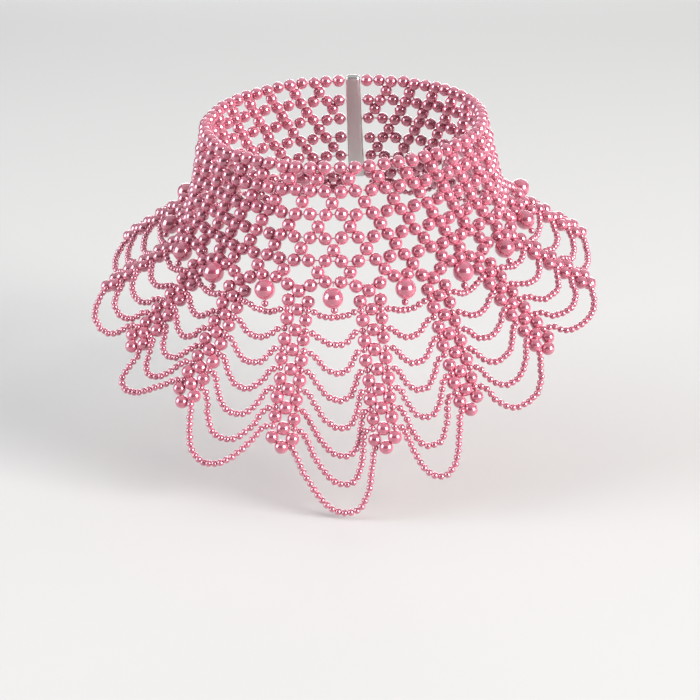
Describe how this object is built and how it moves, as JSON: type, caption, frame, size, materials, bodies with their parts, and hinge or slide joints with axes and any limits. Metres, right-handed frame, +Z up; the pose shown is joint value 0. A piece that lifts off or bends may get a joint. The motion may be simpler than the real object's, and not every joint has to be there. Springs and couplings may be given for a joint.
{
  "type": "pearl bib necklace",
  "caption": "Neck collar of netted pink faux pearls with large pearls, beaded ladders and draped seed-bead swags fanning over the chest, in its worn form.",
  "frame": {"origin": "centre of the collar's top row of beads, where the neck passes through", "axes": "+Z up along the neck, -Y the front of the collar, +X to the right of a viewer who faces the front"},
  "size_m": [0.2106, 0.1666, 0.1512],
  "materials": {
    "pearl_pink": "pearlescent pink bead, glossy",
    "large_pearl": "pearlescent pink pearl, glossy",
    "clasp_metal": "satin silver-coloured bar"
  },
  "bodies": {
    "root": {"collar_net": "pearl_pink", "clasp_bar": "clasp_metal", "pearl_front": "large_pearl", "pearl_left_1": "large_pearl", "pearl_left_2": "large_pearl", "pearl_left_3": "large_pearl", "pearl_left_4": "large_pearl", "pearl_left_5": "large_pearl", "pearl_left_6": "large_pearl", "pearl_left_7": "large_pearl", "pearl_right_1": "large_pearl", "pearl_right_2": "large_pearl", "pearl_right_3": "large_pearl", "pearl_right_4": "large_pearl", "pearl_right_5": "large_pearl", "pearl_right_6": "large_pearl", "pearl_right_7": "large_pearl", "bib_left_1": "pearl_pink", "bib_left_2": "pearl_pink", "bib_left_3": "pearl_pink", "bib_left_4": "pearl_pink", "bib_left_5": "pearl_pink", "bib_left_6": "pearl_pink", "bib_left_7": "pearl_pink", "bib_left_8": "pearl_pink", "bib_right_1": "pearl_pink", "bib_right_2": "pearl_pink", "bib_right_3": "pearl_pink", "bib_right_4": "pearl_pink", "bib_right_5": "pearl_pink", "bib_right_6": "pearl_pink", "bib_right_7": "pearl_pink", "bib_right_8": "pearl_pink"}
  },
  "joints": []
}
